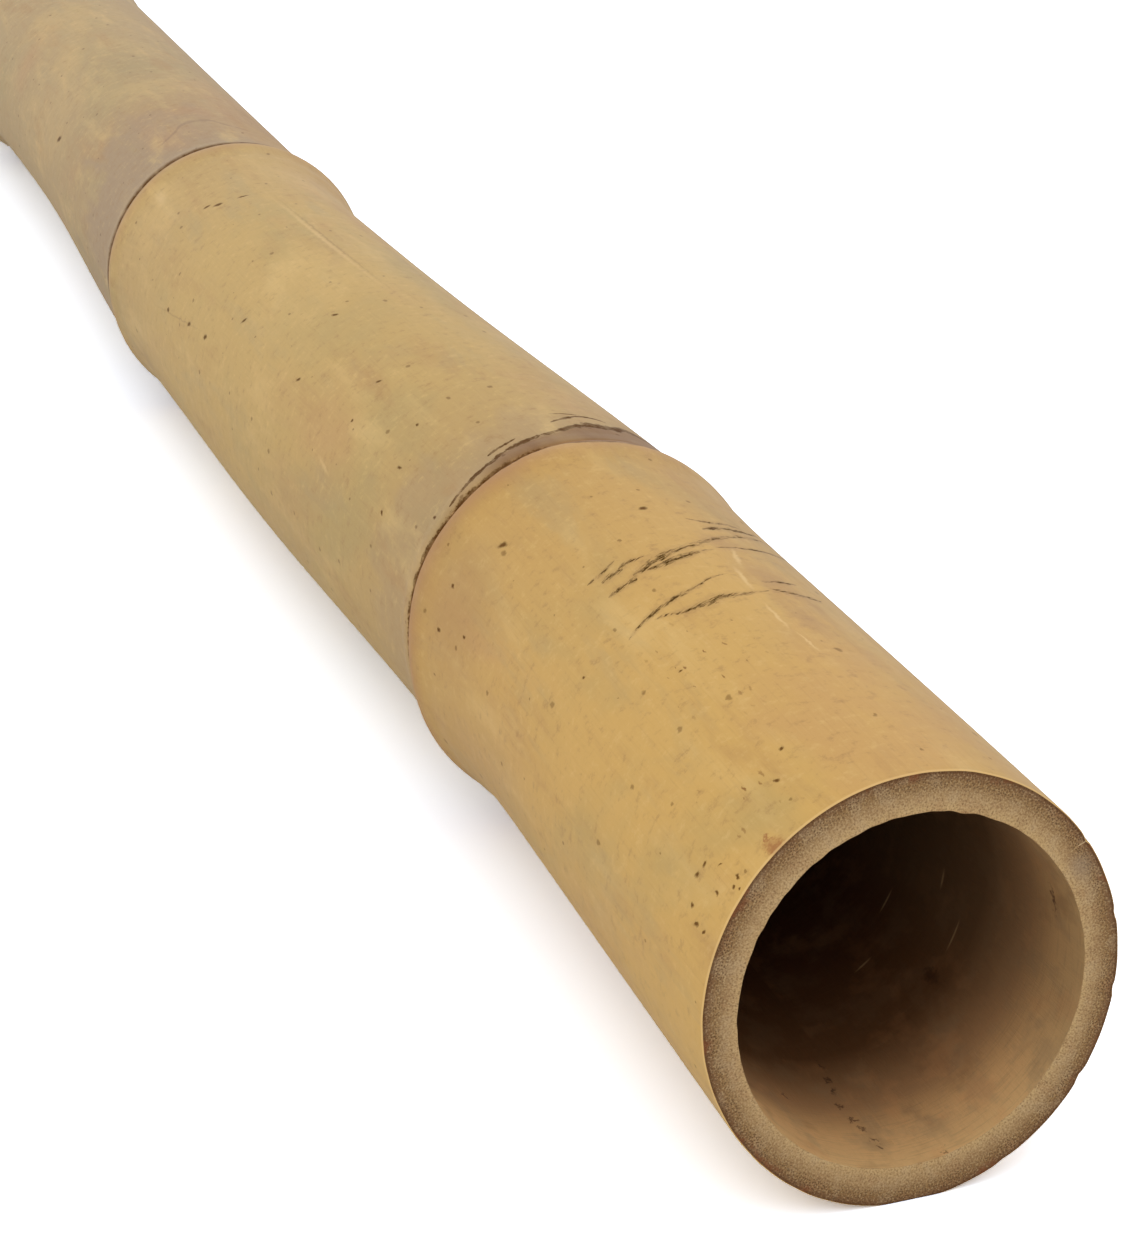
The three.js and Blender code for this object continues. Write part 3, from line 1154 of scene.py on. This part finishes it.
    # The dark marks are matt
    matt = greatest(tree, [line, scraped, specks])
    sheen = calc(tree, "MULTIPLY_ADD", matt, -SKIN_SHEEN, SKIN_SHEEN)
    roughness = calc(tree, "MULTIPLY_ADD", rough, 0.14, 0.4)
    roughness = calc(tree, "MULTIPLY_ADD", bloom, 0.12, roughness)
    finish(coat, roughness, fine, 0.02, sheen)
    return material


# The fibre bundles near the rind and further in, in metres: how far they are apart, a dot's size, and
# the depths between which they come in
BUNDLES = ((0.00052, 0.0002, 0.0042, 0.0022), (0.0008, 0.00027, 0.0016, 0.0036))

# Near the top right of the near cut: a pale split from the rim, and a greyer patch below it
SPLIT = ((0.7, 35.5, 1.4, 0.16, 12),)
PATCH = ((3.2, 30, 3.5, 4.5, 0),)


def make_cut_face():
    """The sawn end: tan, with the dark dots of the fibre bundles, small and dense near the rind and
    large and sparse further in, a dark rim and reddish stains."""
    material, tree = new_material("bamboo_cut")
    place = cane_place(tree)
    depth = add(tree, "ShaderNodeSeparateXYZ", {"Vector": place}).outputs["X"]

    plain = ramp(
        tree,
        calc(tree, "DIVIDE", depth, WALL * MM),
        [
            (0.0, linear(112, 76, 44)),
            (0.1, linear(122, 88, 56)),
            (0.25, linear(141, 108, 68)),
            (0.45, linear(159, 127, 86)),
            (0.7, linear(178, 146, 102)),
            (0.92, linear(190, 157, 108)),
            (1.0, linear(180, 142, 94)),
        ],
    )
    coat = Coat(tree, plain)
    cloud, blotch, tint = three_noises(tree, place, 190, detail=3, roughness=0.6, dimensions="2D")
    coat.over(fade(tree, cloud, 0.48, 0.7, high=0.3), 186, 160, 124)
    coat.over(fade(tree, cloud, 0.48, 0.28, high=0.3), 134, 98, 64)
    coat.over(fade(tree, tint, 0.55, 0.72, high=0.3), 158, 118, 80)

    # The fibre bundles' dots, a little longer round the wall than through it
    drawn = vector_calc(tree, "MULTIPLY", place, (1, 0.9, 1))
    dots = []
    for pitch, dot, start, end in BUNDLES:
        inputs = {"Vector": drawn, "Scale": 1 / pitch, "Randomness": 0.8}
        cells = add(tree, "ShaderNodeTexVoronoi", inputs, voronoi_dimensions="2D")
        inside = fade(tree, cells.outputs["Distance"], dot / pitch, 0.35 * dot / pitch)
        dots.append(product(tree, inside, fade(tree, depth, start, end)))
    bundles = calc(tree, "MAXIMUM", dots[0], product(tree, dots[1], 0.4))
    grain = noise(tree, place, 2600, detail=2, roughness=0.6, dimensions="2D")["Fac"]
    coat.over(fade(tree, grain, 0.5, 0.72, high=0.5), 112, 82, 52)
    coat.over(fade(tree, grain, 0.5, 0.28, high=0.4), 206, 178, 132)
    seen = product(tree, bundles, fade(tree, tint, 0.3, 0.65, low=0.35, high=0.8))
    coat.over(seen, 84, 58, 36)

    # The rim, with stains on it here and there
    rim = fade(tree, depth, 0.0006, 0.0001)
    coat.over(product(tree, rim, 0.6), 88, 56, 28)
    stains = product(tree, fade(tree, depth, 0.002, 0.0003), fade(tree, blotch, 0.56, 0.68), 0.6)
    coat.over(stains, 124, 70, 38)

    patch = marks(tree, place, PATCH, softness=0.9)
    coat.over(product(tree, patch, 0.4), 150, 132, 112)
    split = marks(tree, place, SPLIT, softness=0.6)
    coat.over(product(tree, split, 0.7), 214, 184, 140)

    height = calc(tree, "MULTIPLY_ADD", bundles, -0.6, product(tree, blotch, 0.6))
    finish(coat, 0.78, height, 0.1, 0.2)
    return material


# The bore's marks, as the skin's

BORE_SPECKS = (
    (35, -93.8, 1.6, 0.7, 0),
    (30, -95.2, 1.8, 0.8, 0),
    (26, -96, 1.6, 0.9, 20),
    (21, -97.5, 1.6, 1.0, 30),
    (16, -96.6, 0.8, 1.6, 10),
    (13, -96, 0.8, 1.2, 0),
    (9, -95.4, 0.7, 1.4, 20),
    (7, -95, 0.9, 0.9, 60),
    (23, -116.2, 1.2, 0.6, 0),
    (1, -78, 0.5, 0.9, 0),
    (42, -44, 3.5, 2.4, 0),
)
BORE_STREAK = ((10.8, 12, 0.7, 5.5, 0),)
BORE_SCRATCHES = (
    (53.5, -17.6, 3, 0.5, 80),
    (43, -29, 5, 0.4, 84),
    (58.5, -58.5, 3.4, 0.4, 84),
    (67, -38, 4, 0.4, 80),
)


def make_bore():
    """The bore: orange brown near the cuts and darkened with depth by painted shade, streaked along the
    cane.
    """
    material, tree = new_material("bamboo_bore")
    place = cane_place(tree)
    axes = add(tree, "ShaderNodeSeparateXYZ", {"Vector": place}).outputs
    along, around = axes["X"], axes["Y"]
    depth = calc(tree, "MINIMUM", along, calc(tree, "SUBTRACT", LENGTH * MM, along))
    # Painted shade: the colour darkens with depth into the bore, away from the cuts
    plain = ramp(
        tree,
        calc(tree, "DIVIDE", depth, 0.1),
        [
            (0.0, linear(222, 181, 124)),
            (0.1, linear(222, 176, 120)),
            (0.2, linear(176, 134, 92)),
            (0.38, linear(104, 70, 40)),
            (0.7, linear(78, 46, 24)),
            (1.0, linear(66, 38, 20)),
        ],
    )
    coat = Coat(tree, plain)
    streaks = use(tree, FIBRES, Place=place, Width=0.0006, Length=0.006)["Lines"]
    cloud, grey, ochre = three_noises(tree, place, 80, detail=4, roughness=0.6, dimensions="2D")
    brushed = use(tree, FIBRES, Place=place, Width=0.008, Length=0.00045)["Lines"]
    near_cut = fade(tree, depth, 0.045, 0.012, low=0.25)
    for pattern, start, end, most, over in (
        (streaks, 0.5, 0.8, 0.07, (128, 92, 60)),
        (brushed, 0.48, 0.75, 0.24, (140, 114, 84)),
        (cloud, 0.5, 0.75, 0.34, (124, 86, 56)),
        (grey, 0.48, 0.68, 0.34, (158, 134, 102)),
        (ochre, 0.52, 0.7, 0.26, (218, 158, 104)),
    ):
        coat.over(product(tree, fade(tree, pattern, start, end, high=most), near_cut), *over)

    # Painted shade on the right side, which makes it darker and greyer
    from_below = fade(tree, around, map_turn(-52), map_turn(-12), high=0.42)
    from_above = fade(tree, around, map_turn(70), map_turn(30))
    coat.over(product(tree, from_below, from_above), 118, 96, 68)

    rough_place = shaken(tree, place, 700, (0.004, 0.003, 0), detail=2, roughness=0.6)
    specks = marks(tree, rough_place, BORE_SPECKS + BORE_STREAK, softness=0.8)
    coat.over(product(tree, specks, 0.7), 66, 38, 22)
    scratches = marks(tree, place, BORE_SCRATCHES, softness=0.8)
    coat.over(product(tree, scratches, 0.4), 206, 176, 130)
    finish(coat, 0.62, streaks, 0.1, 0.3)
    return material


for finished in (make_rind(), make_cut_face(), make_bore()):
    cane.data.materials.append(finished)


# Floor, world and light

FLOOR_SIZE = 30
FLOOR_LEVEL = 0.82
FLOOR_SHOWN = (1.74, 1.88, 2.1, 1)
WORLD_STRENGTH = 1.0


def make_floor():
    """A white floor, overexposed to the camera as in a product photo, and plain white to all else."""
    half = FLOOR_SIZE / 2
    corners = [(-half, -half, 0), (half, -half, 0), (half, half, 0), (-half, half, 0)]
    mesh = bpy.data.meshes.new("floor")
    mesh.from_pydata(corners, [], [(0, 1, 2, 3)])
    floor = bpy.data.objects.new("floor", mesh)
    bpy.context.scene.collection.objects.link(floor)
    material, tree = new_material("white_floor")
    path = add(tree, "ShaderNodeLightPath").outputs["Is Camera Ray"]
    plain = (FLOOR_LEVEL, FLOOR_LEVEL, FLOOR_LEVEL, 1)
    shader = add(tree, "ShaderNodeBsdfDiffuse", {"Color": mixed(tree, path, plain, FLOOR_SHOWN)})
    add(tree, "ShaderNodeOutputMaterial", {"Surface": shader.outputs[0]})
    mesh.materials.append(material)


def make_light():
    """A plain white world, as in a light tent."""
    world = bpy.data.worlds.new("white_world")
    world.use_nodes = True
    background = world.node_tree.nodes["Background"]
    background.inputs["Color"].default_value = (1, 1, 1, 1)
    background.inputs["Strength"].default_value = WORLD_STRENGTH
    bpy.context.scene.world = world


make_floor()
make_light()
bpy.context.scene.view_settings.view_transform = "Standard"
